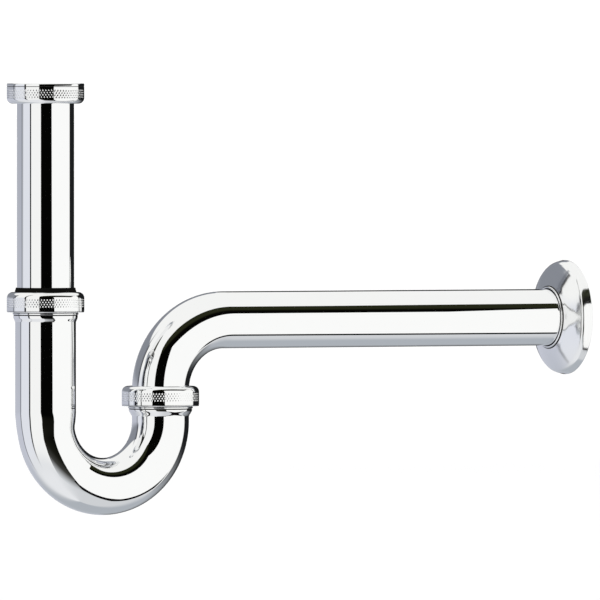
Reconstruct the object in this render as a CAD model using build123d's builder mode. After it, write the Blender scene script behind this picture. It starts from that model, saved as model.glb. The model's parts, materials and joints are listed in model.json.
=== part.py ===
"""Tubular P-trap for a wash basin, 1 1/4 in x 32 mm, chromed brass.

Units: millimetres.  +Z is up.  The origin is on the inlet axis, in the mouth plane of
the inlet union nut.  +X points from the inlet towards the wall, and every tube axis
lies in the plane Y = 0.

The trap hangs from the basin waste by its inlet nut.  A straight dip tube runs down
into the expanded leg of a U-bend and is sealed there by a slip joint.  The other end
of the U-bend carries a swivel joint, and a swan-neck arm runs from it to the wall,
where a sliding escutcheon covers the hole.
"""

from build123d import *
import os

os.makedirs("parts", exist_ok=True)

# ---------------------------------------------------------------- tubes
TUBE_R = 16.0          # outside radius of the 32 mm tube
TUBE_BORE_R = 15.0     # 1.0 mm wall
LEG_R = 17.0           # outside radius of the expanded inlet leg
LEG_BORE_R = 16.15     # the dip tube slides in this bore

# ---------------------------------------------------------------- layout
U_R = 36.25            # centreline radius of the U-bend
U_Z = -189.6           # height of the U-bend's arc centre
OUT_X = 2 * U_R        # axis of the outlet riser and its swivel joint
NECK_R = 39.5          # centreline radius of the swan neck
NECK_Z = -172.5        # height at which the swan neck starts to bend
ARM_Z = NECK_Z + NECK_R    # axis height of the horizontal arm
ARM_END_X = 339.0      # plain end of the arm, just inside the wall
DIP_END_Z = -180.0     # lower end of the dip tube, inside the leg

# ---------------------------------------------------------------- union nuts
NUT_R = 21.7           # knurled outside radius
NUT_H = 11.3           # height of every nut
NUT_SHOULDER = 3.2     # rounding at the lip end
NUT_EDGE = 0.9         # rounding at the mouth
NUT_LIP = 1.7          # thickness of the inturned lip
NUT_THREAD_R = 19.5    # G 1 1/4 internal thread, crest (minor) radius
NUT_THREAD_L = 4.7     # length of full thread from the mouth
NUT_CHAMBER_R = 20.1   # undercut chamber between the thread and the lip
MALE_THREAD_R = 19.43  # G 1 1/4 external thread, root radius
LIP_INLET_Z = -11.3    # lip face of the inlet nut, which opens upward
LIP_SLIP_Z = -116.7    # lip face of the slip nut, which opens downward
LIP_OUTLET_Z = -169.8  # lip face of the outlet nut, which opens downward
OPEN_INLET_R = 16.3    # hole in each lip
OPEN_SLIP_R = 17.75
OPEN_OUTLET_R = 17.0

# ---------------------------------------------------------------- rings and seals
RING_T = 0.7           # friction ring under each lip
RING_R = 19.2
COLLAR_T = 2.0         # collar brazed to a flanged tube end
COLLAR_R = 19.3
WASHER_T = 2.0
WASHER_R = 19.2
GAP = 0.05             # axial running gap between faces that turn on each other

# ---------------------------------------------------------------- escutcheon
ROSE_R = 32.4          # outside radius of the escutcheon
ROSE_FRONT_X = 319.8   # front of its neck bead
ROSE_BACK_X = 331.8    # plane that rests on the wall
ROSE_T = 0.9           # sheet thickness


def nut_outline(lip_z, up, hole_r):
    """Corner points (r, z) of a nut's section, as a list of runs and arcs.

    lip_z is the outer face of the inturned lip; up is +1 if the mouth is above it.
    """
    def z(s):
        return lip_z + up * s

    k = NUT_SHOULDER * (1 - 2 ** -0.5)
    e = NUT_EDGE * (1 - 2 ** -0.5)
    return {
        "start": (hole_r, z(0)),
        "lip": (NUT_R - NUT_SHOULDER, z(0)),
        "shoulder_mid": (NUT_R - k, z(k)),
        "shoulder": (NUT_R, z(NUT_SHOULDER)),
        "side": (NUT_R, z(NUT_H - NUT_EDGE)),
        "edge_mid": (NUT_R - e, z(NUT_H - e)),
        "mouth": (NUT_R - NUT_EDGE, z(NUT_H)),
        "inner": [
            (NUT_R - NUT_EDGE, z(NUT_H)),
            (NUT_THREAD_R, z(NUT_H)),
            (NUT_THREAD_R, z(NUT_H - NUT_THREAD_L)),
            (NUT_CHAMBER_R, z(NUT_H - NUT_THREAD_L - 0.6)),
            (NUT_CHAMBER_R, z(NUT_LIP)),
            (hole_r, z(NUT_LIP)),
            (hole_r, z(0)),
        ],
    }


# ================================================================ inlet union
# Knurled union nut that opens upward and draws the dip tube's collar against the
# tail of the basin waste.
o = nut_outline(LIP_INLET_Z, 1, OPEN_INLET_R)
with BuildPart() as inlet_nut:
    with BuildSketch(Plane.XZ):
        with BuildLine():
            Line(o["start"], o["lip"])
            ThreePointArc(o["lip"], o["shoulder_mid"], o["shoulder"])
            Line(o["shoulder"], o["side"])
            ThreePointArc(o["side"], o["edge_mid"], o["mouth"])
            Polyline(*o["inner"])
        make_face()
    revolve(axis=Axis.Z)
inlet_nut.part.label = "inlet_nut"
export_step(inlet_nut.part, "parts/inlet_nut.step")

# Hard friction ring between the nut's lip and the collar, so that the nut turns
# without scoring the collar.
lip_in = LIP_INLET_Z + NUT_LIP
with BuildPart() as inlet_friction_ring:
    with BuildSketch(Plane.XY.offset(lip_in + GAP)):
        Circle(RING_R)
        Circle(OPEN_INLET_R - 0.15, mode=Mode.SUBTRACT)
    extrude(amount=RING_T)
    chamfer(inlet_friction_ring.edges().filter_by(GeomType.CIRCLE).group_by(SortBy.RADIUS)[-1], 0.15)
inlet_friction_ring.part.label = "inlet_friction_ring"
export_step(inlet_friction_ring.part, "parts/inlet_friction_ring.step")

# Turned collar brazed round the top of the dip tube.
collar_in_z = lip_in + RING_T + 2 * GAP
with BuildPart() as inlet_collar:
    with BuildSketch(Plane.XY.offset(collar_in_z)):
        Circle(COLLAR_R)
        Circle(TUBE_R, mode=Mode.SUBTRACT)
    extrude(amount=COLLAR_T)
    chamfer(inlet_collar.edges().filter_by(GeomType.CIRCLE).group_by(SortBy.RADIUS)[-1], 0.3)
inlet_collar.part.label = "inlet_collar"
export_step(inlet_collar.part, "parts/inlet_collar.step")

# Dip tube, from the collar's top face down into the U-bend's leg.
dip_top_z = collar_in_z + COLLAR_T
with BuildPart() as inlet_tube:
    with BuildSketch(Plane.XY.offset(DIP_END_Z)):
        Circle(TUBE_R)
        Circle(TUBE_BORE_R, mode=Mode.SUBTRACT)
    extrude(amount=dip_top_z - DIP_END_Z)
    chamfer(inlet_tube.edges().filter_by(GeomType.CIRCLE).group_by(Axis.Z)[0].sort_by(SortBy.RADIUS)[-1], 0.4)
inlet_tube.part.label = "inlet_tube"
export_step(inlet_tube.part, "parts/inlet_tube.step")

# Flat rubber washer that seals against the waste's tail.
with BuildPart() as inlet_washer:
    with BuildSketch(Plane.XY.offset(dip_top_z)):
        Circle(WASHER_R)
        Circle(TUBE_BORE_R, mode=Mode.SUBTRACT)
    extrude(amount=WASHER_T)
inlet_washer.part.label = "inlet_washer"
export_step(inlet_washer.part, "parts/inlet_washer.step")

# ================================================================ slip joint
o = nut_outline(LIP_SLIP_Z, -1, OPEN_SLIP_R)
with BuildPart() as slip_nut:
    with BuildSketch(Plane.XZ):
        with BuildLine():
            Line(o["start"], o["lip"])
            ThreePointArc(o["lip"], o["shoulder_mid"], o["shoulder"])
            Line(o["shoulder"], o["side"])
            ThreePointArc(o["side"], o["edge_mid"], o["mouth"])
            Polyline(*o["inner"])
        make_face()
    revolve(axis=Axis.Z)
slip_nut.part.label = "slip_nut"
export_step(slip_nut.part, "parts/slip_nut.step")

slip_lip_z = LIP_SLIP_Z - NUT_LIP
with BuildPart() as slip_friction_ring:
    with BuildSketch(Plane.XY.offset(slip_lip_z - GAP - RING_T)):
        Circle(RING_R)
        Circle(OPEN_SLIP_R - 0.1, mode=Mode.SUBTRACT)
    extrude(amount=RING_T)
    chamfer(slip_friction_ring.edges().filter_by(GeomType.CIRCLE).group_by(SortBy.RADIUS)[-1], 0.15)
slip_friction_ring.part.label = "slip_friction_ring"
export_step(slip_friction_ring.part, "parts/slip_friction_ring.step")

# Moulded rubber seal: its tapered neck passes up through the nut's hole and wipes
# the dip tube, its flange is pressed by the friction ring, and its lower cone wedges
# into the mouth of the ferrule.
SEAL_BORE_R = 16.06
SEAL_TOP_Z = -114.2
seal_flange_z = slip_lip_z - 2 * GAP - RING_T
SEAL_FLANGE_T = 2.9
FERRULE_TOP_Z = seal_flange_z - SEAL_FLANGE_T - GAP
FERRULE_CONE_Z = FERRULE_TOP_Z - 2.3
with BuildPart() as slip_seal:
    with BuildSketch(Plane.XZ):
        with BuildLine():
            Polyline(
                (SEAL_BORE_R, SEAL_TOP_Z),
                (16.45, SEAL_TOP_Z),
                (16.75, SEAL_TOP_Z - 0.3),
                (17.4, LIP_SLIP_Z - 0.3),
                (17.4, seal_flange_z),
                (WASHER_R, seal_flange_z),
                (WASHER_R, seal_flange_z - SEAL_FLANGE_T),
                (18.15, seal_flange_z - SEAL_FLANGE_T),
                (16.9, FERRULE_CONE_Z + 0.15),
                (SEAL_BORE_R, FERRULE_CONE_Z + 0.15),
                close=True,
            )
        make_face()
    revolve(axis=Axis.Z)
slip_seal.part.label = "slip_seal"
export_step(slip_seal.part, "parts/slip_seal.step")

# Threaded ferrule brazed to the top of the U-bend's leg.  Below the thread it has a
# plain skirt and a hollow neck that runs out on the leg.
nut_mouth_z = LIP_SLIP_Z - NUT_H
with BuildPart() as inlet_ferrule:
    with BuildSketch(Plane.XZ):
        with BuildLine():
            Polyline(
                (LEG_R, FERRULE_CONE_Z),
                (18.3, FERRULE_TOP_Z),
                (18.95, FERRULE_TOP_Z),
                (MALE_THREAD_R, FERRULE_TOP_Z - 0.48),
                (MALE_THREAD_R, nut_mouth_z + 0.5),
                (18.2, nut_mouth_z + 0.1),
                (18.2, nut_mouth_z - 2.4),
            )
            ThreePointArc(
                (18.2, nut_mouth_z - 2.4),
                (17.55, nut_mouth_z - 3.7),
                (17.3, nut_mouth_z - 5.0),
            )
            Polyline(
                (17.3, nut_mouth_z - 5.0),
                (LEG_R, nut_mouth_z - 5.0),
                (LEG_R, FERRULE_CONE_Z),
            )
        make_face()
    revolve(axis=Axis.Z)
inlet_ferrule.part.label = "inlet_ferrule"
export_step(inlet_ferrule.part, "parts/inlet_ferrule.step")

# ================================================================ U-bend
# One tube: the inlet leg is expanded so that the dip tube slides in it, tapers back
# to the tube's own size, turns through half a circle and rises into the outlet
# ferrule.
LEG_END_Z = -184.2
TAPER_END_Z = -188.0
OUT_FERRULE_TOP_Z = LIP_OUTLET_Z - NUT_LIP - RING_T - 3 * GAP - COLLAR_T - WASHER_T
RISER_TOP_Z = OUT_FERRULE_TOP_Z - 2.0
with BuildPart() as trap_bend:
    # expanded leg and taper
    with BuildSketch(Plane.XZ):
        with BuildLine():
            Polyline(
                (LEG_BORE_R, FERRULE_CONE_Z),
                (LEG_R, FERRULE_CONE_Z),
                (LEG_R, LEG_END_Z),
                (TUBE_R, TAPER_END_Z),
                (TUBE_R, U_Z),
                (TUBE_BORE_R, U_Z),
                (TUBE_BORE_R, TAPER_END_Z),
                (LEG_BORE_R, LEG_END_Z),
                close=True,
            )
        make_face()
    revolve(axis=Axis.Z)
    # half circle and riser
    with BuildLine() as u_path:
        ThreePointArc((0, 0, U_Z), (U_R, 0, U_Z - U_R), (OUT_X, 0, U_Z))
        Line((OUT_X, 0, U_Z), (OUT_X, 0, RISER_TOP_Z))
    with BuildSketch(Plane(origin=(0, 0, U_Z), x_dir=(1, 0, 0), z_dir=(0, 0, -1))):
        Circle(TUBE_R)
        Circle(TUBE_BORE_R, mode=Mode.SUBTRACT)
    sweep(path=u_path.wires()[0])
trap_bend.part.label = "trap_bend"
export_step(trap_bend.part, "parts/trap_bend.step")

# ================================================================ swivel joint
out_mouth_z = LIP_OUTLET_Z - NUT_H
with BuildPart() as outlet_ferrule:
    with BuildSketch(Plane.XZ):
        with BuildLine():
            Polyline(
                (TUBE_BORE_R, RISER_TOP_Z),
                (TUBE_BORE_R, OUT_FERRULE_TOP_Z),
                (18.95, OUT_FERRULE_TOP_Z),
                (MALE_THREAD_R, OUT_FERRULE_TOP_Z - 0.48),
                (MALE_THREAD_R, out_mouth_z + 0.5),
                (17.85, out_mouth_z + 0.1),
                (17.85, out_mouth_z - 2.9),
            )
            ThreePointArc(
                (17.85, out_mouth_z - 2.9),
                (16.75, out_mouth_z - 4.4),
                (16.3, out_mouth_z - 6.2),
            )
            Polyline(
                (16.3, out_mouth_z - 6.2),
                (TUBE_R, out_mouth_z - 6.2),
                (TUBE_R, RISER_TOP_Z),
                (TUBE_BORE_R, RISER_TOP_Z),
            )
        make_face()
    revolve(axis=Axis.Z)
    outlet_ferrule.part = outlet_ferrule.part.moved(Location((OUT_X, 0, 0)))
outlet_ferrule.part.label = "outlet_ferrule"
export_step(outlet_ferrule.part, "parts/outlet_ferrule.step")

o = nut_outline(LIP_OUTLET_Z, -1, OPEN_OUTLET_R)
OUT_PLANE = Plane(origin=(OUT_X, 0, 0), x_dir=(1, 0, 0), z_dir=(0, -1, 0))
OUT_AXIS = Axis((OUT_X, 0, 0), (0, 0, 1))
with BuildPart() as outlet_nut:
    with BuildSketch(OUT_PLANE):
        with BuildLine():
            Line(o["start"], o["lip"])
            ThreePointArc(o["lip"], o["shoulder_mid"], o["shoulder"])
            Line(o["shoulder"], o["side"])
            ThreePointArc(o["side"], o["edge_mid"], o["mouth"])
            Polyline(*o["inner"])
        make_face()
    revolve(axis=OUT_AXIS)
outlet_nut.part.label = "outlet_nut"
export_step(outlet_nut.part, "parts/outlet_nut.step")

out_lip_z = LIP_OUTLET_Z - NUT_LIP
with BuildPart() as outlet_friction_ring:
    with BuildSketch(Plane(origin=(OUT_X, 0, out_lip_z - GAP - RING_T))):
        Circle(RING_R)
        Circle(OPEN_OUTLET_R - 0.1, mode=Mode.SUBTRACT)
    extrude(amount=RING_T)
    chamfer(outlet_friction_ring.edges().filter_by(GeomType.CIRCLE).group_by(SortBy.RADIUS)[-1], 0.15)
outlet_friction_ring.part.label = "outlet_friction_ring"
export_step(outlet_friction_ring.part, "parts/outlet_friction_ring.step")

# Turned collar brazed round the foot of the swan neck.
out_collar_top_z = out_lip_z - 2 * GAP - RING_T
out_collar_z = out_collar_top_z - COLLAR_T
with BuildPart() as outlet_collar:
    with BuildSketch(Plane(origin=(OUT_X, 0, out_collar_z))):
        Circle(COLLAR_R)
        Circle(TUBE_R, mode=Mode.SUBTRACT)
    extrude(amount=COLLAR_T)
    chamfer(outlet_collar.edges().filter_by(GeomType.CIRCLE).group_by(SortBy.RADIUS)[-1], 0.3)
outlet_collar.part.label = "outlet_collar"
export_step(outlet_collar.part, "parts/outlet_collar.step")

# Flat rubber washer on top of the outlet ferrule.
with BuildPart() as outlet_washer:
    with BuildSketch(Plane(origin=(OUT_X, 0, OUT_FERRULE_TOP_Z))):
        Circle(WASHER_R)
        Circle(TUBE_BORE_R, mode=Mode.SUBTRACT)
    extrude(amount=out_collar_z - GAP - OUT_FERRULE_TOP_Z)
outlet_washer.part.label = "outlet_washer"
export_step(outlet_washer.part, "parts/outlet_washer.step")

# ================================================================ swan-neck arm
MARK_X = 331.4         # shallow rolled mark, 1 mm wide: the arm goes into the wall up to here
MARK_DEPTH = 0.25
with BuildPart() as outlet_arm:
    with BuildLine() as arm_path:
        Line((OUT_X, 0, out_collar_z), (OUT_X, 0, NECK_Z))
        ThreePointArc(
            (OUT_X, 0, NECK_Z),
            (OUT_X + NECK_R * (1 - 2 ** -0.5), 0, NECK_Z + NECK_R * 2 ** -0.5),
            (OUT_X + NECK_R, 0, ARM_Z),
        )
        Line((OUT_X + NECK_R, 0, ARM_Z), (ARM_END_X, 0, ARM_Z))
    with BuildSketch(Plane(origin=(OUT_X, 0, out_collar_z))):
        Circle(TUBE_R)
        Circle(TUBE_BORE_R, mode=Mode.SUBTRACT)
    sweep(path=arm_path.wires()[0])
    chamfer(
        outlet_arm.edges().filter_by(GeomType.CIRCLE).group_by(Axis.X)[-1].sort_by(SortBy.RADIUS)[-1], 0.5
    )
    with BuildSketch(Plane(origin=(MARK_X, 0, ARM_Z), x_dir=(0, 1, 0), z_dir=(1, 0, 0))):
        Circle(TUBE_R + 1)
        Circle(TUBE_R - MARK_DEPTH, mode=Mode.SUBTRACT)
    extrude(amount=1.0, mode=Mode.SUBTRACT)
outlet_arm.part.label = "outlet_arm"
export_step(outlet_arm.part, "parts/outlet_arm.step")

# ================================================================ wall escutcheon
# Spun sheet cover: a rolled bead hugs the arm, a shallow dome runs out to a rounded
# shoulder, a side wall runs back to the rim, and a short sleeve inside the neck holds the rubber grip ring.
ROSE_PLANE = Plane(origin=(0, 0, ARM_Z), x_dir=(1, 0, 0), z_dir=(0, -1, 0))
ROSE_AXIS = Axis((0, 0, ARM_Z), (1, 0, 0))
with BuildPart() as escutcheon:
    with BuildSketch(ROSE_PLANE):
        with BuildLine():
            # outside, from the bead to the rim
            bead_out = ThreePointArc(
                (ROSE_FRONT_X + 0.5, 16.3),
                (ROSE_FRONT_X, 16.85),
                (ROSE_FRONT_X + 0.75, 17.5),
            )
            dome_out = Spline(
                (ROSE_FRONT_X + 0.75, 17.5),
                (ROSE_FRONT_X + 2.35, 21.5),
                (ROSE_FRONT_X + 4.3, 25.8),
                (ROSE_FRONT_X + 6.3, 29.6),
                tangents=[(0.36, 0.93), (0.5, 0.866)],
            )
            shoulder_out = ThreePointArc(
                (ROSE_FRONT_X + 6.3, 29.6),
                (ROSE_FRONT_X + 7.24, 30.76),
                (ROSE_FRONT_X + 8.5, 31.55),
            )
            # side wall of the rim
            Polyline(
                (ROSE_FRONT_X + 8.5, 31.55),
                (ROSE_BACK_X - 0.5, ROSE_R),
                (ROSE_BACK_X, ROSE_R),
            )
            # back edge that rests on the wall
            Line((ROSE_BACK_X, ROSE_R), (ROSE_BACK_X, ROSE_R - 1.0))
            # inside, back to the sleeve
            Line((ROSE_BACK_X, ROSE_R - 1.0), (ROSE_FRONT_X + 9.0, 30.75))
            dome_in = Spline(
                (ROSE_FRONT_X + 9.0, 30.75),
                (ROSE_FRONT_X + 7.85, 30.0),
                (ROSE_FRONT_X + 7.08, 29.15),
                (ROSE_FRONT_X + 5.12, 25.42),
                (ROSE_FRONT_X + 3.18, 21.16),
                (ROSE_FRONT_X + 2.2, 18.6),
            )
            Polyline(
                (ROSE_FRONT_X + 2.2, 18.6),
                (ROSE_FRONT_X + 6.2, 18.6),
                (ROSE_FRONT_X + 6.2, 17.7),
                (ROSE_FRONT_X + 1.6, 17.7),
                (ROSE_FRONT_X + 1.6, 16.3),
                (ROSE_FRONT_X + 0.5, 16.3),
            )
        make_face()
    revolve(axis=ROSE_AXIS)
escutcheon.part.label = "escutcheon"
export_step(escutcheon.part, "parts/escutcheon.step")

# Rubber ring in the sleeve: it grips the arm and keeps the escutcheon where it is put.
with BuildPart() as escutcheon_grip_ring:
    with BuildSketch(ROSE_PLANE):
        with BuildLine():
            Polyline(
                (ROSE_FRONT_X + 1.7, 16.25),
                (ROSE_FRONT_X + 2.5, 16.05),
                (ROSE_FRONT_X + 4.9, 16.05),
                (ROSE_FRONT_X + 5.7, 16.25),
                (ROSE_FRONT_X + 5.7, 17.65),
                (ROSE_FRONT_X + 1.7, 17.65),
                close=True,
            )
        make_face()
    revolve(axis=ROSE_AXIS)
escutcheon_grip_ring.part.label = "escutcheon_grip_ring"
export_step(escutcheon_grip_ring.part, "parts/escutcheon_grip_ring.step")
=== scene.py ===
import json
import math

import bpy
import numpy as np
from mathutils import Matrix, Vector


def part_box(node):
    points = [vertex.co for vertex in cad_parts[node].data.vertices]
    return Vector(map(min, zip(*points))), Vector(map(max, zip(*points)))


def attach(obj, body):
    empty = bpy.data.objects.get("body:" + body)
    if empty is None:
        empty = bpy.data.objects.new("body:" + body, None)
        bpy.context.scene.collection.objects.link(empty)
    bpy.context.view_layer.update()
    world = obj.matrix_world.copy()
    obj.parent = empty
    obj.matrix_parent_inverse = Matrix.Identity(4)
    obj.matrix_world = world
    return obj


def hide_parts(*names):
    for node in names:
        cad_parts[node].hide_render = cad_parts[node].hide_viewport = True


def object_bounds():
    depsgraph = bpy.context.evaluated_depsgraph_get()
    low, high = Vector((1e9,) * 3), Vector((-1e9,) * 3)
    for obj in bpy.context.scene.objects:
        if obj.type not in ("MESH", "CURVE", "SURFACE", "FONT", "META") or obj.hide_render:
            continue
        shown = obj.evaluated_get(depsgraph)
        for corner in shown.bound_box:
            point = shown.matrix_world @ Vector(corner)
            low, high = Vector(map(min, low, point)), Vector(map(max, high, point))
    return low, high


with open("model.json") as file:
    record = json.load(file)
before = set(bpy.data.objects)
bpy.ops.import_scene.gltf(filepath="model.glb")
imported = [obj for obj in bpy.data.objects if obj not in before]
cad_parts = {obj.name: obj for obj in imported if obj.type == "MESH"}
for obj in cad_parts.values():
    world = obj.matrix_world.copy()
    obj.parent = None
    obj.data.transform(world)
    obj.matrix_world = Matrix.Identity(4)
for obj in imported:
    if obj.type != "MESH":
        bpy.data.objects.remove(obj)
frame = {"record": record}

CAD_LO, CAD_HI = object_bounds()
RECORD = frame["record"]
TAU = 2 * math.pi
MM = 0.001


# ------------------------------------------------------------------ sizes
# All lengths are in millimetres here; meshes are written in metres. Places come
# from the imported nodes, so that every piece sits where the CAD says.
def nbox(node):
    lo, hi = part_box(node)
    return np.array(lo) / MM, np.array(hi) / MM


def joint(name):
    return next(j for j in RECORD["behaviour"]["joints"] if j["name"] == name)


nut_in = nbox("inlet_nut")
nut_slip = nbox("slip_nut")
nut_out = nbox("outlet_nut")
dip = nbox("inlet_tube")
bend = nbox("trap_bend")
arm = nbox("outlet_arm")
rose = nbox("escutcheon")
seal = nbox("slip_seal")
fer_in = nbox("inlet_ferrule")
fer_out = nbox("outlet_ferrule")

IN_X = (dip[0][0] + dip[1][0]) / 2
OUT_X = (nut_out[0][0] + nut_out[1][0]) / 2
ARM_Z = (rose[0][2] + rose[1][2]) / 2
TUBE_R = (dip[1][0] - dip[0][0]) / 2
BORE_R = TUBE_R - 1.0
LEG_R = (bend[1][1] - bend[0][1]) / 2
LEG_BORE_R = LEG_R - 0.85
U_R = (OUT_X - IN_X) / 2
U_Z = bend[0][2] + U_R + TUBE_R
NUT_R = (nut_in[1][0] - nut_in[0][0]) / 2
NUT_H = nut_in[1][2] - nut_in[0][2]
NECK_R = 39.5
NECK_Z = ARM_Z - NECK_R

PITCH = 2.309            # G 1 1/4
MAJOR_R, MINOR_R = 20.955, 19.476


# ------------------------------------------------------------------ mesh tools
def new_mesh(name, verts, faces, sharp=32.0):
    """A mesh in metres from millimetre points, smooth except over sharp edges."""
    me = bpy.data.meshes.new(name)
    me.from_pydata((np.asarray(verts, float) * MM).tolist(), [], [list(map(int, f)) for f in faces])
    me.validate()
    me.update()
    me.shade_smooth()
    me.set_sharp_from_angle(angle=math.radians(sharp))
    ob = bpy.data.objects.new(name, me)
    bpy.context.scene.collection.objects.link(ob)
    return ob


def grid_faces(rows, cols, wrap_rows, wrap_cols):
    """Quads over a rows x cols grid of vertices."""
    out = []
    for i in range(rows if wrap_rows else rows - 1):
        a, b = i * cols, ((i + 1) % rows) * cols
        for j in range(cols if wrap_cols else cols - 1):
            k = (j + 1) % cols
            out.append((a + j, b + j, b + k, a + k))
    return out


def fix_outward(ob):
    """Turn every face outward; the pieces here are all closed."""
    import bmesh
    bm = bmesh.new()
    bm.from_mesh(ob.data)
    bmesh.ops.recalc_face_normals(bm, faces=bm.faces)
    bm.to_mesh(ob.data)
    bm.free()
    ob.data.update()
    return ob


def turned(name, loop, origin, axis="Z", segs=192, shape=None, sharp=32.0):
    """A solid of revolution from a closed loop of (r, s) points.

    s runs along the axis from origin. shape(theta, j, r, s) may return another radius for
    the points of row j, which is how threads and knurling are cut.
    """
    th = np.arange(segs) / segs * TAU
    rows = []
    for j, (r, s) in enumerate(loop):
        rr = np.full(segs, float(r))
        if shape is not None:
            rr = shape(th, j, r, s)
        c, n = rr * np.cos(th), rr * np.sin(th)
        z = np.full(segs, float(s))
        if axis == "Z":
            rows.append(np.c_[origin[0] + c, origin[1] + n, origin[2] + z])
        else:
            rows.append(np.c_[origin[0] + z, origin[1] + c, origin[2] + n])
    v = np.vstack(rows)
    return fix_outward(new_mesh(name, v, grid_faces(len(loop), segs, True, True), sharp))


def arc(cx, cy, r, a0, a1, n):
    """Points on an arc in the section plane, angles in degrees."""
    return [(cx + r * math.cos(math.radians(a)), cy + r * math.sin(math.radians(a)))
            for a in np.linspace(a0, a1, n)]


def line(p, q, n):
    return [(p[0] + (q[0] - p[0]) * t, p[1] + (q[1] - p[1]) * t) for t in np.linspace(0, 1, n)]


def joined(*runs):
    """Runs of section points end to end, without doubled points."""
    out = []
    for run in runs:
        for p in run:
            if not out or math.hypot(p[0] - out[-1][0], p[1] - out[-1][1]) > 1e-6:
                out.append(p)
    if math.hypot(out[0][0] - out[-1][0], out[0][1] - out[-1][1]) < 1e-6:
        out.pop()
    return out


def ridge(t):
    """Thread form over one pitch: 1 on the crest, 0 in the root, 55 degree flanks, rounded."""
    d = np.abs((t + 0.5) % 1.0 - 0.5)          # distance from the crest, in pitches
    x = np.clip((0.5 - 1 / 12 - d) / (0.5 - 1 / 6), 0, 1)
    return x * x * (3 - 2 * x) * 0.35 + x * 0.65


def phase(th, z, x0=0.0):
    """Pitch phase of a right-hand helix, shared by nuts and ferrules so that they mesh."""
    return (z - PITCH * th / TAU) / PITCH


# ------------------------------------------------------------------ union nuts
KNURLS = 80
KNURL_ROWS = 4
ROW = 1.25               # height from one row of knurling to the next
LOW, FINE = KNURLS * 3, KNURLS * 12


def knurl(th, u):
    """Depth share of a staggered diamond knurl; u is the height above the band's middle."""
    a = th * KNURLS / TAU + u / (2 * ROW) + (0.25 if KNURL_ROWS % 2 == 0 else 0.0)
    b = th * KNURLS / TAU - u / (2 * ROW) - (0.25 if KNURL_ROWS % 2 == 0 else 0.0)
    da = np.abs((a + 0.5) % 1.0 - 0.5)
    db = np.abs((b + 0.5) % 1.0 - 0.5)
    d = np.maximum(da, db) * 2
    if abs(u) > KNURL_ROWS * ROW / 2:
        return np.zeros(len(th))
    return np.clip(1 - d / 0.52, 0, 1)


def banded(name, loop, fine, origin, shape, dark=(), sharp=36.0):
    """Like turned(), round Z, with rows in fine at a higher count of points, and the faces
    from the rows in dark given the second material."""
    idx, verts, faces, mats = [], [], [], []
    count = 0
    for j, (r, s) in enumerate(loop):
        n = FINE if j in fine else LOW
        th = np.arange(n) / n * TAU
        rr = shape(th, j, r, s)
        verts.append(np.c_[origin[0] + rr * np.cos(th), origin[1] + rr * np.sin(th), np.full(n, origin[2] + s)])
        idx.append((count, n))
        count += n
    k = FINE // LOW
    for j in range(len(loop)):
        (a, na), (b, nb) = idx[j], idx[(j + 1) % len(loop)]
        m = 1 if j in dark else 0
        if na == nb:
            for i in range(na):
                i2 = (i + 1) % na
                faces.append((a + i, b + i, b + i2, a + i2))
                mats.append(m)
        else:
            (lo_, hi_) = (a, b) if na < nb else (b, a)
            for i in range(LOW):
                top = [hi_ + (i * k + q) % FINE for q in range(k + 1)]
                f = [lo_ + i, *top, lo_ + (i + 1) % LOW]
                faces.append(f if na < nb else f[::-1])
                mats.append(m)
    me = bpy.data.meshes.new(name)
    me.from_pydata((np.vstack(verts) * MM).tolist(), [], [tuple(map(int, f)) for f in faces])
    me.polygons.foreach_set("material_index", mats)
    me.update()
    ob = bpy.data.objects.new(name, me)
    bpy.context.scene.collection.objects.link(ob)
    fix_outward(ob)
    me.shade_smooth()
    me.set_sharp_from_angle(angle=math.radians(sharp))
    return ob


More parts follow.
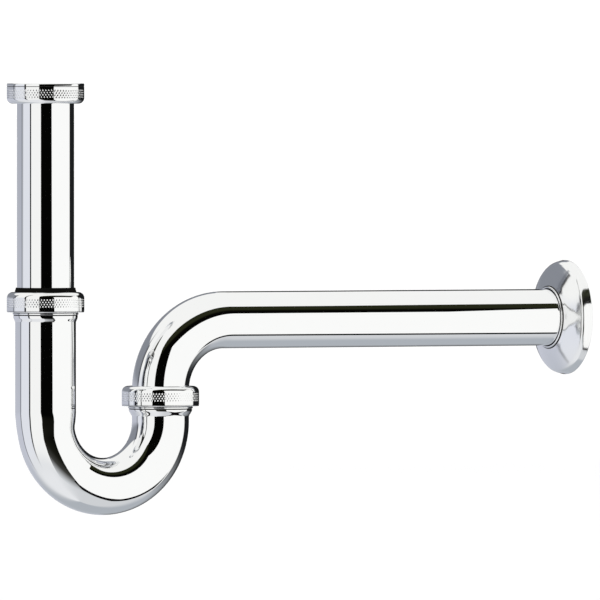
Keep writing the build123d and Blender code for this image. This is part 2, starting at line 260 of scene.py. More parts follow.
def nut(name, node, lip_z, up, hole_r, x, line_at):
    """Union nut: inturned lip, rounded shoulder, knurled band, threaded mouth.

    line_at is how far the fine turned line sits from the mouth.
    """
    H = NUT_H
    S, E, L = 3.3, 0.55, 1.7
    mid = S + KNURL_ROWS * ROW / 2 + (0.3 if line_at < 1 else -0.25)
    k0, k1 = mid - KNURL_ROWS * ROW / 2 - 0.12, mid + KNURL_ROWS * ROW / 2 + 0.12
    th0, th1 = H - 1.25, H - 6.2       # full thread
    line0 = H - line_at
    loop = joined(
        [(hole_r, 0.22)],
        arc(hole_r + 0.22, 0.22, 0.22, 180, 270, 4),
        line((hole_r + 0.22, 0.0), (NUT_R - S, 0.0), 3),
        arc(NUT_R - S, S, S, -90, 0, 19),
        line((NUT_R, S), (NUT_R, k0), 2),
    )
    kn_start = len(loop)
    loop += line((NUT_R, k0), (NUT_R, k1), 41)[1:]
    kn_end = len(loop)
    loop = joined(loop, [(NUT_R, k1 + 0.1), (NUT_R, line0 - 0.34)])
    g0 = len(loop) - 1
    loop = joined(loop, [(NUT_R - 0.14, line0 - 0.30), (NUT_R - 0.22, line0 - 0.17), (NUT_R - 0.14, line0 - 0.04),
                         (NUT_R, line0)])
    g1 = len(loop) - 1
    loop = joined(
        loop,
        arc(NUT_R - E, H - E, E, 0, 90, 8),
        line((NUT_R - E, H), (MAJOR_R - 0.55, H), 2),
        [(MAJOR_R - 0.62, H - 0.05)],
        line((MAJOR_R - 0.62, H - 0.05), (MINOR_R + 0.02, th0), 4),
    )
    t_start = len(loop)
    loop += line((MINOR_R + 0.02, th0), (MINOR_R + 0.02, th1), 42)[1:]
    t_end = len(loop)
    loop = joined(
        loop,
        [(20.1, th1 - 0.55)],
        line((20.1, th1 - 0.55), (20.1, L + 0.3), 3),
        arc(20.1 - 0.3, L + 0.3, 0.3, 0, -90, 4),
        line((19.8, L), (hole_r + 0.2, L), 3),
        [(hole_r, L - 0.2)],
        line((hole_r, L - 0.2), (hole_r, 0.22), 3),
    )

    def shape(th, j, r, sz):
        s = up * sz
        if kn_start <= j < kn_end:
            return r - 0.2 * knurl(th, s - mid)
        if t_start <= j < t_end:
            z = lip_z + sz
            # the groove is a little wider than the ridge it takes
            w = np.maximum(ridge(phase(th, z)), np.maximum(ridge(phase(th, z) + 0.035), ridge(phase(th, z) - 0.035)))
            run = min(1.0, max(0.0, (s - th1) / 0.9))
            return MINOR_R + 0.02 + (MAJOR_R - MINOR_R + 0.04) * w * run
        return np.full(len(th), float(r))

    # painted shade: the rows of the fine turned line near the mouth take the dark second material as a painted
    # shadow line
    ob = banded(name, [(r, up * s) for r, s in loop], set(range(kn_start, kn_end)), (x, 0, lip_z), shape,
                dark=set(range(g0, g1)))
    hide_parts(node)
    return ob


nut_inlet = nut("union_nut_inlet", "inlet_nut", nut_in[0][2], 1, 16.3, IN_X, 1.55)
nut_of_slip = nut("union_nut_slip", "slip_nut", nut_slip[1][2], -1, 17.75, IN_X, 0.42)
nut_outlet = nut("union_nut_outlet", "outlet_nut", nut_out[1][2], -1, 17.0, OUT_X, 0.42)


# ------------------------------------------------------------------ ferrules
def ferrule(name, node, x, top, mouth, bore_r, top_in, skirt_r, neck_r, neck_end, land):
    """Threaded ferrule: a narrow collar shows under the nut, over a hollow neck."""
    t0, t1 = top - 0.45, mouth + 0.55
    loop = joined(
        top_in,
        [(18.6, top)],
        [(19.0, top - 0.12)],
    )
    t_start = len(loop)
    loop += line((MINOR_R - 0.08, t0), (MINOR_R - 0.08, t1), 56)
    t_end = len(loop)
    loop = joined(loop, [(19.0, mouth + 0.25), (skirt_r - 0.25, mouth + 0.02)])
    a0 = len(loop) - 1
    loop = joined(loop, [(skirt_r - 0.34, mouth - 0.25), (skirt_r - 0.05, mouth - 0.46)])
    a1 = len(loop) - 1
    e = mouth - 1.3                     # foot of the collar
    loop = joined(
        loop,
        arc(skirt_r - 0.12, mouth - 0.58, 0.12, 90, 0, 4),
        arc(skirt_r - 0.2, e + 0.2, 0.2, 0, -80, 5),
    )
    b0 = len(loop) - 1
    loop = joined(loop, [(skirt_r - 0.5, e - 0.03), (skirt_r - 0.58, e - 0.27), (skirt_r - 0.42, e - 0.52)])
    b1 = len(loop) - 1
    # a short land, then a hollow neck that runs out on the tube
    h0 = e - 0.5
    loop = joined(loop, [(skirt_r - 0.36, h0 - 0.08), (skirt_r - 0.4, h0 - 0.08 - land * 0.5),
                         (skirt_r - 0.5, h0 - 0.08 - land)])
    p0, p3 = loop[-1], (neck_r, neck_end)
    drop = p0[1] - neck_end
    p1, p2 = (p0[0] - 0.04, p0[1] - drop * 0.16), (neck_r + 0.02, neck_end + drop * 0.16)
    for t in np.linspace(0, 1, 14)[1:]:
        q = 1 - t
        loop.append(tuple(q ** 3 * a + 3 * q * q * t * b + 3 * q * t * t * c + t ** 3 * d
                          for a, b, c, d in zip(p0, p1, p2, p3)))
    loop = joined(loop, [(neck_r - 0.2, neck_end - 0.05), (bore_r + 0.02, neck_end - 0.05)])

    def shape(th, j, r, z):
        if t_start <= j < t_end:
            w = ridge(phase(th, z))
            run = min(1.0, max(0.0, (t0 - z) / 1.0 + 0.05), max(0.0, (z - t1) / 1.1 + 0.02))
            return MINOR_R - 0.08 + (MAJOR_R - 0.1 - MINOR_R + 0.08) * w * run
        return np.full(len(th), float(r))

    ob = turned(name, loop, (x, 0, 0), segs=256, shape=shape, sharp=40.0)
    # turned() lays the faces out row by row; the rows just under the nut's mouth and at the collar's foot get the
    # dark second material, painted shade lines
    me = ob.data
    mats = np.zeros(len(me.polygons), int)
    for j in [*range(a0, a1), *range(b0, b1)]:
        mats[j * 256:(j + 1) * 256] = 1
    me.polygons.foreach_set("material_index", mats.tolist())
    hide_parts(node)
    return ob


mouth_slip = nut_slip[0][2]
top_fi = fer_in[1][2]
cone_z = bend[1][2]
ferrule_inlet = ferrule(
    "ferrule_inlet", "inlet_ferrule", IN_X, top_fi, mouth_slip, LEG_R,
    [(LEG_R, cone_z), (18.3, top_fi - 0.05), (18.4, top_fi)],
    18.4, LEG_R + 0.12, mouth_slip - 5.3, 1.4)
mouth_out = nut_out[0][2]
top_fo = fer_out[1][2]
ferrule_outlet = ferrule(
    "ferrule_outlet", "outlet_ferrule", OUT_X, top_fo, mouth_out, TUBE_R,
    [(TUBE_R, top_fo - 2.0), (BORE_R, top_fo - 2.0), (BORE_R, top_fo - 0.1), (BORE_R + 0.1, top_fo)],
    18.15, TUBE_R + 0.12, mouth_out - 5.6, 0.75)


# ------------------------------------------------------------------ tubes
def tube(name, node, stations, segs=192):
    """A tube along a path in the plane Y = 0.

    stations is a list of (x, z, heading in degrees, outer radius, inner radius); heading 0
    points along +X and 90 along +Z.
    """
    th = np.arange(segs) / segs * TAU
    outer, inner = [], []
    for x, z, h, ro, ri in stations:
        a = math.radians(h)
        n = np.array([-math.sin(a), 0.0, math.cos(a)])      # in-plane normal
        b = np.array([0.0, 1.0, 0.0])
        ring = np.outer(np.cos(th), n) + np.outer(np.sin(th), b)
        p = np.array([x, 0.0, z])
        outer.append(p + ring * ro)
        inner.append(p + ring * ri)
    rows = outer + inner[::-1]
    ob = new_mesh(name, np.vstack(rows), grid_faces(len(rows), segs, True, True), 30.0)
    fix_outward(ob)
    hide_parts(node)
    return ob


def straight(x0, z0, x1, z1, h, ro, ri, n=2):
    return [(x0 + (x1 - x0) * t, z0 + (z1 - z0) * t, h, ro, ri) for t in np.linspace(0, 1, n)]


# dip tube, with a small edge break at each end
dip_lo, dip_hi = dip[0][2], dip[1][2]
dip_tube = tube("dip_tube", "inlet_tube", [
    (IN_X, dip_hi, -90, TUBE_R - 0.0, BORE_R + 0.15),
    (IN_X, dip_hi - 0.2, -90, TUBE_R, BORE_R),
    *straight(IN_X, dip_hi - 2.0, IN_X, dip_lo + 2.0, -90, TUBE_R, BORE_R, 8),
    (IN_X, dip_lo + 0.4, -90, TUBE_R, BORE_R),
    (IN_X, dip_lo, -90, TUBE_R - 0.4, BORE_R + 0.1),
])

# U-bend: expanded leg, eased taper, half circle, riser
leg_end, taper_run = U_Z + 6.0, 13.5


def leg_size(run):
    """Outer and inner radius at a distance past the start of the taper."""
    t = min(1.0, max(0.0, run / taper_run))
    e = t * t * (3 - 2 * t)
    return LEG_R + (TUBE_R - LEG_R) * e, LEG_BORE_R + (BORE_R - LEG_BORE_R) * e


stations = [(IN_X, cone_z, -90, LEG_R, LEG_BORE_R)]
stations += straight(IN_X, cone_z - 1.0, IN_X, leg_end, -90, LEG_R, LEG_BORE_R, 6)
for run in np.linspace(0.5, 5.5, 11):
    stations.append((IN_X, leg_end - run, -90, *leg_size(run)))
for a in np.linspace(0, 180, 145):
    r = math.radians(a)
    stations.append((IN_X + U_R - U_R * math.cos(r), U_Z - U_R * math.sin(r), -90 + a, *leg_size(6.0 + U_R * r)))
riser_top = top_fo - 2.0
stations += straight(OUT_X, U_Z + 1.5, OUT_X, riser_top, 90, TUBE_R, BORE_R, 4)
u_bend = tube("u_bend", "trap_bend", stations)

# swan neck and arm
arm_lo_z = arm[0][2]
arm_end = arm[1][0]
stations = [(OUT_X, arm_lo_z, 90, TUBE_R, BORE_R + 0.1)]
stations += straight(OUT_X, arm_lo_z + 0.3, OUT_X, NECK_Z, 90, TUBE_R, BORE_R, 3)
for a in np.linspace(0, 90, 61)[1:]:
    r = math.radians(a)
    stations.append((OUT_X + NECK_R - NECK_R * math.cos(r), NECK_Z + NECK_R * math.sin(r), 90 - a, TUBE_R, BORE_R))
x0 = OUT_X + NECK_R
mark = 331.4
stations += straight(x0 + 1.5, ARM_Z, mark - 0.05, ARM_Z, 0, TUBE_R, BORE_R, 12)
stations += [(mark + 0.15, ARM_Z, 0, TUBE_R - 0.2, BORE_R), (mark + 0.3, ARM_Z, 0, TUBE_R - 0.25, BORE_R),
             (mark + 0.7, ARM_Z, 0, TUBE_R - 0.25, BORE_R), (mark + 0.85, ARM_Z, 0, TUBE_R - 0.2, BORE_R),
             (mark + 1.05, ARM_Z, 0, TUBE_R, BORE_R), (arm_end - 0.5, ARM_Z, 0, TUBE_R, BORE_R),
             (arm_end - 0.2, ARM_Z, 0, TUBE_R - 0.18, BORE_R), (arm_end, ARM_Z, 0, TUBE_R - 0.5, BORE_R + 0.12)]
swan_arm = tube("swan_neck_arm", "outlet_arm", stations)


# ------------------------------------------------------------------ collars, washers, friction rings
def ring(name, node, x, z0, z1, ro, ri, e_out=0.25, e_in=0.12, body_bulge=0.0):
    """A flat ring with rounded edges; body_bulge rounds the outside, as on squeezed rubber."""
    h = z1 - z0
    n = 5
    loop = joined(
        arc(ri + e_in, z0 + e_in, e_in, 180, 270, n),
        arc(ro - e_out, z0 + e_out, e_out, -90, 0, n),
        [(ro + body_bulge * math.sin(math.pi * t) - body_bulge, z0 + e_out + (h - 2 * e_out) * t)
         for t in np.linspace(0, 1, 5)] if body_bulge else [],
        arc(ro - e_out, z1 - e_out, e_out, 0, 90, n),
        arc(ri + e_in, z1 - e_in, e_in, 90, 180, n),
    )
    ob = turned(name, loop, (x, 0, 0), segs=160, sharp=50.0)
    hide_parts(node)
    return ob


def ring_from(name, node, ri, **kw):
    lo, hi = nbox(node)
    return ring(name, node, (lo[0] + hi[0]) / 2, lo[2], hi[2], (hi[0] - lo[0]) / 2, ri, **kw)


collar_inlet = ring_from("collar_inlet", "inlet_collar", TUBE_R, e_out=0.3, e_in=0.02)
collar_outlet = ring_from("collar_outlet", "outlet_collar", TUBE_R, e_out=0.3, e_in=0.02)
washer_inlet = ring_from("washer_inlet", "inlet_washer", BORE_R, e_out=0.3, e_in=0.2)
washer_outlet = ring_from("washer_outlet", "outlet_washer", BORE_R, e_out=0.3, e_in=0.2)
friction_inlet = ring_from("friction_ring_inlet", "inlet_friction_ring", 16.15, e_out=0.15, e_in=0.08)
friction_slip = ring_from("friction_ring_slip", "slip_friction_ring", 17.65, e_out=0.15, e_in=0.08)
friction_outlet = ring_from("friction_ring_outlet", "outlet_friction_ring", 16.9, e_out=0.15, e_in=0.08)


# ------------------------------------------------------------------ slip seal
lip_slip = nut_slip[1][2]
s_lo, s_hi = seal[0][2], seal[1][2]
flange_top = lip_slip - 1.7 - 0.8
loop = joined(
    [(16.06, s_hi - 0.12), (16.12, s_hi - 0.03), (16.22, s_hi)],
    line((16.3, s_hi), (16.42, s_hi), 2),
    arc(16.42, s_hi - 0.3, 0.3, 85, 10, 5),
    line((16.76, s_hi - 0.42), (17.36, lip_slip - 0.1), 7),
    [(17.4, lip_slip - 0.5)],
    line((17.4, lip_slip - 0.5), (17.4, flange_top), 3),
    line((17.6, flange_top), (18.9, flange_top), 3),
    arc(18.9, flange_top - 0.3, 0.3, 90, 0, 4),
    line((19.2, flange_top - 0.3), (19.2, flange_top - 2.6), 3),
    arc(18.9, flange_top - 2.6, 0.3, 0, -90, 4),
    line((18.6, flange_top - 2.9), (18.15, flange_top - 2.9), 2),
    line((18.15, flange_top - 2.9), (16.9, s_lo), 5),
    [(16.5, s_lo), (16.06, s_lo + 0.2)],
    line((16.06, s_lo + 0.2), (16.06, s_hi - 0.12), 4),
)
rubber_seal = turned("rubber_seal", loop, (IN_X, 0, 0), segs=192, sharp=40.0)
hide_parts("slip_seal")

# ------------------------------------------------------------------ escutcheon
fx, bx = rose[0][0], rose[1][0]
RR = (rose[1][2] - rose[0][2]) / 2


def smooth_run(points, n):
    """Catmull-Rom through section points, n samples a span."""
    p = np.array(points, float)
    p = np.vstack([2 * p[0] - p[1], p, 2 * p[-1] - p[-2]])
    out = []
    for i in range(1, len(p) - 2):
        for t in np.linspace(0, 1, n, endpoint=False):
            a, b, c, d = p[i - 1], p[i], p[i + 1], p[i + 2]
            out.append(tuple(0.5 * ((2 * b) + (c - a) * t + (2 * a - 5 * b + 4 * c - d) * t * t
                                    + (3 * b - a - 3 * c + d) * t ** 3)))
    out.append(tuple(p[-2]))
    return out


outside = smooth_run([
    (17.95, fx + 1.08), (18.8, fx + 1.38), (21.5, fx + 2.35), (25.8, fx + 4.3), (29.4, fx + 6.2),
], 7)
rim = smooth_run([
    (29.4, fx + 6.2), (30.35, fx + 6.85), (31.1, fx + 7.75), (31.6, fx + 8.75), (32.0, fx + 10.2), (RR - 0.02, fx + 11.6),
], 6)
loop = joined(
    [(16.3, fx + 0.62)],
    arc(16.85, fx + 0.6, 0.55, 180, 345, 14),
)
c0 = len(loop) - 1
loop = joined(loop, [(17.4, fx + 0.75), (17.5, fx + 1.0), (17.7, fx + 1.15), (17.95, fx + 1.08)])
c1 = len(loop) - 1
loop = joined(
    loop,
    outside,
    rim,
    [(RR - 0.04, bx - 0.08), (RR - 0.12, bx)],
    [(RR - 0.9, bx), (RR - 1.0, bx - 0.15)],
    smooth_run([(RR - 1.05, bx - 0.6), (30.75, fx + 9.0), (30.0, fx + 7.85), (29.15, fx + 7.08), (25.42, fx + 5.12),
                (21.16, fx + 3.18), (18.9, fx + 2.35)], 4),
    line((18.6, fx + 2.4), (18.6, fx + 6.1), 3),
    [(18.5, fx + 6.2), (17.8, fx + 6.2), (17.7, fx + 6.1)],
    line((17.7, fx + 6.1), (17.7, fx + 1.6), 3),
    [(16.4, fx + 1.6), (16.3, fx + 1.5)],
    line((16.3, fx + 1.5), (16.3, fx + 0.62), 2),
)
rosette = turned("wall_escutcheon", loop, (0, 0, ARM_Z), axis="X", segs=256, sharp=50.0)
# painted shade: rows of the inner curl take the dark second material as painted shadow lines
mats = np.zeros(len(rosette.data.polygons), int)
mats[c0 * 256:c1 * 256] = 1
mats[256:256 * 5] = 1
rosette.data.polygons.foreach_set("material_index", mats.tolist())
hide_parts("escutcheon")

loop = joined(
    [(16.25, fx + 1.7), (16.08, fx + 2.4), (16.05, fx + 2.6)],
    line((16.05, fx + 2.6), (16.05, fx + 4.8), 3),
    [(16.08, fx + 5.0), (16.25, fx + 5.7)],
    line((16.5, fx + 5.7), (17.4, fx + 5.7), 2),
    arc(17.4, fx + 5.45, 0.25, 90, 0, 4),
    arc(17.4, fx + 1.95, 0.25, 0, -90, 4),
)
grip_ring = turned("escutcheon_grip", loop, (0, 0, ARM_Z), axis="X", segs=128, sharp=45.0)
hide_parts("escutcheon_grip_ring")


# ------------------------------------------------------------------ materials
def material(name):
    m = bpy.data.materials.new(name)
    m.use_nodes = True
    nt = m.node_tree
    b = nt.nodes["Principled BSDF"]
    return m, nt, b


def link(nt, a, b):
    nt.links.new(a, b)


def noise(nt, coord, scale, detail=3.0, rough=0.55):
    n = nt.nodes.new("ShaderNodeTexNoise")
    n.inputs["Scale"].default_value = scale
    n.inputs["Detail"].default_value = detail
    n.inputs["Roughness"].default_value = rough
    link(nt, coord, n.inputs["Vector"])
    return n


def map_range(nt, value, lo, hi, to_lo, to_hi):
    n = nt.nodes.new("ShaderNodeMapRange")
    n.inputs["From Min"].default_value = lo
    n.inputs["From Max"].default_value = hi
    n.inputs["To Min"].default_value = to_lo
    n.inputs["To Max"].default_value = to_hi
    link(nt, value, n.inputs["Value"])
    return n.outputs["Result"]


def chrome_material(name, tint=(0.93, 0.935, 0.94), rough=(0.012, 0.045), bump=0.02):
    """Bright chrome plate: a mirror with faint polishing haze and a slight waviness."""
    m, nt, b = material(name)
    tc = nt.nodes.new("ShaderNodeTexCoord").outputs["Object"]
    haze = noise(nt, tc, 55.0, 4.0)
    fine = noise(nt, tc, 900.0, 2.0)
    mix = nt.nodes.new("ShaderNodeMath")
    mix.operation = "MULTIPLY_ADD"
    link(nt, fine.outputs["Fac"], mix.inputs[0])
    mix.inputs[1].default_value = 0.25
    link(nt, haze.outputs["Fac"], mix.inputs[2])
    link(nt, map_range(nt, mix.outputs[0], 0.45, 0.85, rough[0], rough[1]), b.inputs["Roughness"])
    colour = nt.nodes.new("ShaderNodeMix")
    colour.data_type = "RGBA"
    colour.inputs["A"].default_value = (*[c * 0.985 for c in tint], 1)
    colour.inputs["B"].default_value = (*tint, 1)
    link(nt, haze.outputs["Fac"], colour.inputs["Factor"])
    link(nt, colour.outputs["Result"], b.inputs["Base Color"])
    b.inputs["Metallic"].default_value = 1.0
    bp = nt.nodes.new("ShaderNodeBump")
    bp.inputs["Strength"].default_value = bump
    bp.inputs["Distance"].default_value = 0.0004
    wave = noise(nt, tc, 28.0, 1.5)
    link(nt, wave.outputs["Fac"], bp.inputs["Height"])
    link(nt, bp.outputs["Normal"], b.inputs["Normal"])
    return m


def rubber_material(name):
    m, nt, b = material(name)
    tc = nt.nodes.new("ShaderNodeTexCoord").outputs["Object"]
    grain = noise(nt, tc, 2600.0, 3.0)
    patch = noise(nt, tc, 140.0, 3.0)
    ramp = nt.nodes.new("ShaderNodeMix")
    ramp.data_type = "RGBA"
    ramp.inputs["A"].default_value = (0.0015, 0.0015, 0.0013, 1)
    ramp.inputs["B"].default_value = (0.006, 0.006, 0.005, 1)
    link(nt, patch.outputs["Fac"], ramp.inputs["Factor"])
    link(nt, ramp.outputs["Result"], b.inputs["Base Color"])
    link(nt, map_range(nt, patch.outputs["Fac"], 0.3, 0.7, 0.55, 0.75), b.inputs["Roughness"])
    bp = nt.nodes.new("ShaderNodeBump")
    bp.inputs["Strength"].default_value = 0.25
    bp.inputs["Distance"].default_value = 0.00005
    link(nt, grain.outputs["Fac"], bp.inputs["Height"])
    link(nt, bp.outputs["Normal"], b.inputs["Normal"])
    b.inputs["Specular IOR Level"].default_value = 0.03
    return m


def brass_material(name):
    m, nt, b = material(name)
    tc = nt.nodes.new("ShaderNodeTexCoord").outputs["Object"]
    w = nt.nodes.new("ShaderNodeTexWave")
    w.wave_type = "RINGS"
    w.rings_direction = "Z"
    w.inputs["Scale"].default_value = 2500.0
    w.inputs["Distortion"].default_value = 0.6
    link(nt, tc, w.inputs["Vector"])
    stain = noise(nt, tc, 120.0, 4.0)
    mix = nt.nodes.new("ShaderNodeMix")
    mix.data_type = "RGBA"
    mix.inputs["A"].default_value = (0.50, 0.33, 0.12, 1)
    mix.inputs["B"].default_value = (0.78, 0.58, 0.27, 1)
    link(nt, stain.outputs["Fac"], mix.inputs["Factor"])
    link(nt, mix.outputs["Result"], b.inputs["Base Color"])
    b.inputs["Metallic"].default_value = 1.0
    link(nt, map_range(nt, stain.outputs["Fac"], 0.3, 0.7, 0.22, 0.4), b.inputs["Roughness"])
    bp = nt.nodes.new("ShaderNodeBump")
    bp.inputs["Strength"].default_value = 0.15
    bp.inputs["Distance"].default_value = 0.00003
    link(nt, w.outputs["Fac"], bp.inputs["Height"])
    link(nt, bp.outputs["Normal"], b.inputs["Normal"])
    return m


def plastic_material(name):
    m, nt, b = material(name)
    tc = nt.nodes.new("ShaderNodeTexCoord").outputs["Object"]
    n = noise(nt, tc, 300.0, 3.0)
    mix = nt.nodes.new("ShaderNodeMix")
    mix.data_type = "RGBA"
    mix.inputs["A"].default_value = (0.74, 0.74, 0.70, 1)
    mix.inputs["B"].default_value = (0.82, 0.82, 0.79, 1)
    link(nt, n.outputs["Fac"], mix.inputs["Factor"])
    link(nt, mix.outputs["Result"], b.inputs["Base Color"])
    link(nt, map_range(nt, n.outputs["Fac"], 0.3, 0.7, 0.42, 0.55), b.inputs["Roughness"])
    b.inputs["Subsurface Weight"].default_value = 0.1
    b.inputs["Subsurface Radius"].default_value = (0.002, 0.002, 0.002)
    bp = nt.nodes.new("ShaderNodeBump")
    bp.inputs["Strength"].default_value = 0.1
    bp.inputs["Distance"].default_value = 0.00005
    link(nt, n.outputs["Fac"], bp.inputs["Height"])
    link(nt, bp.outputs["Normal"], b.inputs["Normal"])
    return m


def groove_shade_paint_material(name):
    """Painted shade: a dark, rough material that draws shadow lines in the turned lines and gaps of plated parts."""
    m, nt, b = material(name)
    tc = nt.nodes.new("ShaderNodeTexCoord").outputs["Object"]
    n = noise(nt, tc, 900.0, 4.0)
    mix = nt.nodes.new("ShaderNodeMix")
    mix.data_type = "RGBA"
    mix.inputs["A"].default_value = (0.006, 0.006, 0.006, 1)
    mix.inputs["B"].default_value = (0.035, 0.033, 0.03, 1)
    link(nt, n.outputs["Fac"], mix.inputs["Factor"])
    link(nt, mix.outputs["Result"], b.inputs["Base Color"])
    link(nt, map_range(nt, n.outputs["Fac"], 0.3, 0.7, 0.55, 0.75), b.inputs["Roughness"])
    b.inputs["Specular IOR Level"].default_value = 0.2
    return m


CHROME = chrome_material("chrome_tube", rough=(0.004, 0.02), bump=0.008)
CHROME_NUT = chrome_material("chrome_nut", rough=(0.01, 0.04), bump=0.02)
CHROME_SHEET = chrome_material("chrome_sheet", rough=(0.08, 0.14), bump=0.02)
# painted shade: dark lines for the grooves and gaps of the plated parts
GROOVE_SHADE_PAINT = groove_shade_paint_material("painted_groove_shade")
RUBBER = rubber_material("black_rubber_grain")
BRASS = brass_material("turned_brass")
PLASTIC = plastic_material("white_polyethylene")

for ob, body, mat, slot_name in [
    (nut_inlet, "inlet_union", CHROME_NUT, "chrome"),
    (nut_of_slip, "slip_union", CHROME_NUT, "chrome"),
    (nut_outlet, "outlet_union", CHROME_NUT, "chrome"),
    (ferrule_inlet, "trap", CHROME, "chrome"),
    (ferrule_outlet, "trap", CHROME, "chrome"),
    (dip_tube, "inlet", CHROME, "chrome"),
    (u_bend, "trap", CHROME, "chrome"),
    (swan_arm, "arm", CHROME, "chrome"),
    (collar_inlet, "inlet", BRASS, "brass"),
    (collar_outlet, "arm", BRASS, "brass"),
    (washer_inlet, "inlet", RUBBER, "black_rubber"),
    (washer_outlet, "trap", RUBBER, "black_rubber"),
    (friction_inlet, "inlet_ring", PLASTIC, "friction_ring"),
    (friction_slip, "slip_ring", PLASTIC, "friction_ring"),
    (friction_outlet, "outlet_ring", PLASTIC, "friction_ring"),
    (rubber_seal, "seal", RUBBER, "black_rubber"),
    (rosette, "rosette", CHROME_SHEET, "chrome"),
    (grip_ring, "grip", RUBBER, "black_rubber"),
]:
    ob.data.materials.append(mat)
    # the nuts, ferrules and rosette get the painted groove shade as their second material
    if ob in (nut_inlet, nut_of_slip, nut_outlet, ferrule_inlet, ferrule_outlet, rosette):
        ob.data.materials.append(GROOVE_SHADE_PAINT)
    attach(ob, body)

# ------------------------------------------------------------------ camera
AZ, EL = -28.0, 0.8
PX_PER_M = 1775.0
FOCAL_PX = 19000.0
AIM = Vector((0.1612, 0.0, -0.1222))
cam_data = bpy.data.cameras.new("camera")
cam = bpy.data.objects.new("camera", cam_data)
bpy.context.scene.collection.objects.link(cam)
bpy.context.scene.camera = cam
cam_data.sensor_width = 36.0
cam_data.lens = FOCAL_PX / 600.0 * 36.0
a, e = math.radians(AZ), math.radians(EL)
back = Vector((math.sin(a) * math.cos(e), -math.cos(a) * math.cos(e), math.sin(e)))
cam.location = AIM + back * (FOCAL_PX / PX_PER_M)
cam.rotation_mode = "QUATERNION"
cam.rotation_quaternion = (-back).to_track_quat("-Z", "Y")
cam_data.clip_start, cam_data.clip_end = 0.1, 100.0

# ------------------------------------------------------------------ floor and studio
floor_z = CAD_LO[2] - 0.06
fm = bpy.data.meshes.new("studio_floor")
ft = np.concatenate([-np.geomspace(60.0, 0.2, 14), [0.0], np.geomspace(0.2, 60.0, 14)])
fv = [(x + 0.16, y, floor_z) for y in ft for x in ft]
fm.from_pydata(fv, [], grid_faces(len(ft), len(ft), False, False))
fm.update()
floor = bpy.data.objects.new("studio_floor", fm)
bpy.context.scene.collection.objects.link(floor)
fmat, fnt, fb = material("pale_floor")
fb.inputs["Base Color"].default_value = (0.93, 0.93, 0.93, 1)
fb.inputs["Roughness"].default_value = 0.9
fb.inputs["Specular IOR Level"].default_value = 0.1
fm.materials.append(fmat)
floor.visible_glossy = False

# plain white surroundings light the scene evenly
world = bpy.data.worlds.new("studio")
bpy.context.scene.world = world
world.use_nodes = True
wb = world.node_tree.nodes["Background"]
wb.inputs["Color"].default_value = (1, 1, 1, 1)
wb.inputs["Strength"].default_value = 1.12


def glow(name):
    """An emissive material and its emission node."""
    m = bpy.data.materials.new(name)
    m.use_nodes = True
    m.node_tree.nodes.clear()
    out = m.node_tree.nodes.new("ShaderNodeOutputMaterial")
    em = m.node_tree.nodes.new("ShaderNodeEmission")
    m.node_tree.links.new(em.outputs[0], out.inputs["Surface"])
    return m, m.node_tree, em


def only_mirrored(ob):
    """Studio cards are seen in the chrome alone; they neither show nor light anything."""
    ob.visible_camera = False
    ob.visible_diffuse = False
    ob.visible_shadow = False
    ob.visible_transmission = False
    ob.visible_volume_scatter = False
    return ob


# the studio walls: a shell of 4 m round the object, zoned by compass angle and height
SHELL_R = 4.0
CENTRE = Vector((0.10, 0.0, -0.15))
sv, sf = [], []
rings, cols = 48, 96
for i in range(rings + 1):
    t = math.pi * i / rings
    for j in range(cols):
        q = TAU * j / cols
        sv.append((SHELL_R * math.sin(t) * math.cos(q), SHELL_R * math.sin(t) * math.sin(q), SHELL_R * math.cos(t)))
sm = bpy.data.meshes.new("studio_shell")
sm.from_pydata(sv, [], grid_faces(rings + 1, cols, False, True))
sm.update()
shell = bpy.data.objects.new("studio_shell", sm)
shell.location = CENTRE
bpy.context.scene.collection.objects.link(shell)
shell_mat, wn, shell_em = glow("studio_walls")
sm.materials.append(shell_mat)
only_mirrored(shell)

tcw = wn.nodes.new("ShaderNodeTexCoord")
unit = wn.nodes.new("ShaderNodeVectorMath")
unit.operation = "NORMALIZE"
wn.links.new(tcw.outputs["Object"], unit.inputs[0])
sep = wn.nodes.new("ShaderNodeSeparateXYZ")
wn.links.new(unit.outputs[0], sep.inputs[0])


def wmath(op, a, b=None, c=None):
    n = wn.nodes.new("ShaderNodeMath")
    n.operation = op
    for i, v in enumerate((a, b, c)):
        if v is None:
            continue
        if isinstance(v, (int, float)):
            n.inputs[i].default_value = v
        else:
            wn.links.new(v, n.inputs[i])
    return n.outputs[0]


# compass angle in degrees: 0 towards the front flag, positive to its right
FRONT = math.radians(-28.0)
xr = wmath("ADD", wmath("MULTIPLY", sep.outputs["X"], math.cos(FRONT)),
           wmath("MULTIPLY", sep.outputs["Y"], math.sin(FRONT)))
yf = wmath("SUBTRACT", wmath("MULTIPLY", sep.outputs["X"], math.sin(FRONT)),
           wmath("MULTIPLY", sep.outputs["Y"], math.cos(FRONT)))
azimuth = wmath("MULTIPLY", wmath("ARCTAN2", xr, yf), 180 / math.pi)
elevation = wmath("MULTIPLY", wmath("ARCSINE", sep.outputs["Z"]), 180 / math.pi)


def edge(value, at, soft, rising):
    n = wn.nodes.new("ShaderNodeMapRange")
    n.interpolation_type = "SMOOTHSTEP"
    n.inputs["From Min"].default_value = at - soft / 2
    n.inputs["From Max"].default_value = at + soft / 2
    n.inputs["To Min"].default_value = 0.0 if rising else 1.0
    n.inputs["To Max"].default_value = 1.0 if rising else 0.0
    wn.links.new(value, n.inputs["Value"])
    return n.outputs["Result"]


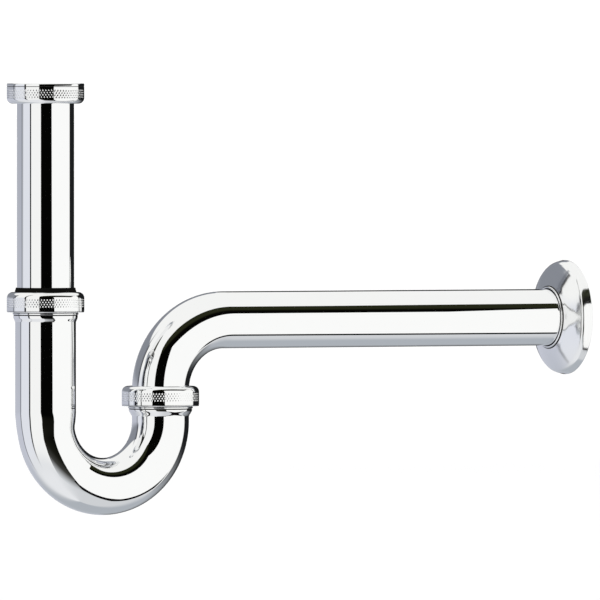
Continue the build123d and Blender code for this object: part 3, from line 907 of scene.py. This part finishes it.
def patch(under, az, el, colour, soft=(2.0, 2.0)):
    """Lays a soft-edged zone of wall over what is under it."""
    m = None
    sa = soft[0] if isinstance(soft[0], tuple) else (soft[0], soft[0])
    se = soft[1] if isinstance(soft[1], tuple) else (soft[1], soft[1])
    for value, at, s, rising in ((azimuth, az[0], sa[0], True), (azimuth, az[1], sa[1], False),
                                 (elevation, el[0], se[0], True), (elevation, el[1], se[1], False)):
        if at is None:
            continue
        f = edge(value, at, s, rising)
        m = f if m is None else wmath("MULTIPLY", m, f)
    mix = wn.nodes.new("ShaderNodeMix")
    mix.data_type = "RGBA"
    wn.links.new(m, mix.inputs["Factor"])
    if isinstance(under, tuple):
        mix.inputs["A"].default_value = (*under, 1)
    else:
        wn.links.new(under, mix.inputs["A"])
    mix.inputs["B"].default_value = (*colour, 1)
    return mix.outputs["Result"]


sky = (0.97, 0.97, 0.955)
sky = patch(sky, (None, -109), (None, 24), (0.57, 0.59, 0.67), (2, 14))       # behind, left
sky = patch(sky, (-107, -62), (None, 12), (0.78, 0.80, 0.86), (4, 16))        # left wall
sky = patch(sky, (None, -101), (2, 33), (0.25, 0.265, 0.30), (3, (14, 3)))      # grey board over it
sky = patch(sky, (-104.5, -100), (3, 34), (0.01, 0.01, 0.012), (2, (8, 2)))      # its dark edge
sky = patch(sky, (-111, -106), (-40, 40), (0.18, 0.19, 0.22), (3, 20))        # gap between them
sky = patch(sky, (-65, -59.5), (-50, 60), (0.004, 0.004, 0.005), (0.8, 10))     # stand
sky = patch(sky, (116, None), (-40, 27), (0.10, 0.10, 0.095), (2, (14, 5)))   # dark doorway behind, right
sky = patch(sky, (115, None), (-19, 27), (0.012, 0.013, 0.014), (2, (16, 5)))
sky = patch(sky, (None, -171), (-12, 16), (0.05, 0.05, 0.06), (4, 8))
sky = patch(sky, (None, None), (None, -38), (0.665, 0.68, 0.70), (2, (2, 24)))   # floor
sky = patch(sky, (-112, 4), (None, -34), (0.84, 0.85, 0.87), (60, (2, 44)))
sky = patch(sky, (118, None), (None, -26), (0.44, 0.47, 0.51), (40, (2, 36)))
sky = patch(sky, (None, -128), (None, -26), (0.44, 0.47, 0.51), (50, (2, 40)))  # its far side
wn.links.new(sky, shell_em.inputs["Color"])
shell_em.inputs["Strength"].default_value = 1.0


def card(name, y, pts, colour, strength=1.0, fade=None):
    """A card standing across the front at depth y, with its outline as (x, z) points in metres."""
    me = bpy.data.meshes.new(name)
    me.from_pydata([(x, y, z) for x, z in pts], [], [tuple(range(len(pts)))])
    me.update()
    ob = bpy.data.objects.new(name, me)
    bpy.context.scene.collection.objects.link(ob)
    m, nt, em = glow(name)
    me.materials.append(m)
    em.inputs["Strength"].default_value = strength
    if fade is None:
        em.inputs["Color"].default_value = (*colour, 1)
    else:
        z0, z1 = fade[0][0], fade[-1][0]
        tc = nt.nodes.new("ShaderNodeTexCoord")
        sp = nt.nodes.new("ShaderNodeSeparateXYZ")
        nt.links.new(tc.outputs["Object"], sp.inputs[0])
        ramp = nt.nodes.new("ShaderNodeValToRGB")
        while len(ramp.color_ramp.elements) < len(fade):
            ramp.color_ramp.elements.new(0.5)
        for el, (z, c) in zip(ramp.color_ramp.elements, fade):
            el.position = (z - z0) / (z1 - z0)
            el.color = (*c, 1)
        nt.links.new(map_range(nt, sp.outputs["Z"], z0, z1, 0.0, 1.0), ramp.inputs["Fac"])
        nt.links.new(ramp.outputs["Color"], em.inputs["Color"])
    return only_mirrored(ob)


# softbox across the front and right, its black rim, and the black curtain round the camera
card("softbox_front", -0.300, [
    (-0.018, 0.002), (-0.006, -0.19), (0.040, -0.27), (0.056, -0.40), (0.104, -0.455), (0.20, -0.54),
    (0.34, -0.64), (0.60, -0.72), (1.2, -0.85), (2.2, -1.1), (2.2, 0.9), (0.95, 0.40), (0.72, 0.24),
    (0.42, 0.012)], (1.03, 1.03, 1.015))
card("softbox_rim", -0.303, [
    (0.030, -0.40), (0.055, -0.49), (0.165, -0.60), (0.31, -0.750), (0.60, -0.915), (1.2, -1.17), (2.2, -1.65),
    (2.2, 0.0), (0.3, 0.0)], (0.004, 0.004, 0.004))
card("curtain", -0.306, [
    (-0.318, 0.20), (-0.312, -0.20), (-0.22, -0.34), (-0.16, -0.56), (0.10, -0.56), (0.60, -0.10),
    (2.2, 0.30), (2.2, 0.96), (0.95, 0.53), (0.62, 0.36), (0.45, 0.305), (-0.12, 0.300), (-0.26, 0.262)], (0, 0, 0),
    fade=[(-0.53, (0.62, 0.64, 0.66)), (-0.46, (0.40, 0.41, 0.42)), (-0.37, (0.05, 0.05, 0.045)),
          (-0.30, (0.010, 0.010, 0.007)), (-0.22, (0.0012, 0.0012, 0.001)), (0.09, (0.0015, 0.0015, 0.001)),
          (0.14, (0.019, 0.021, 0.010)), (1.0, (0.019, 0.021, 0.010))])

bpy.context.scene.view_settings.view_transform = "Standard"
bpy.context.scene.view_settings.look = "None"
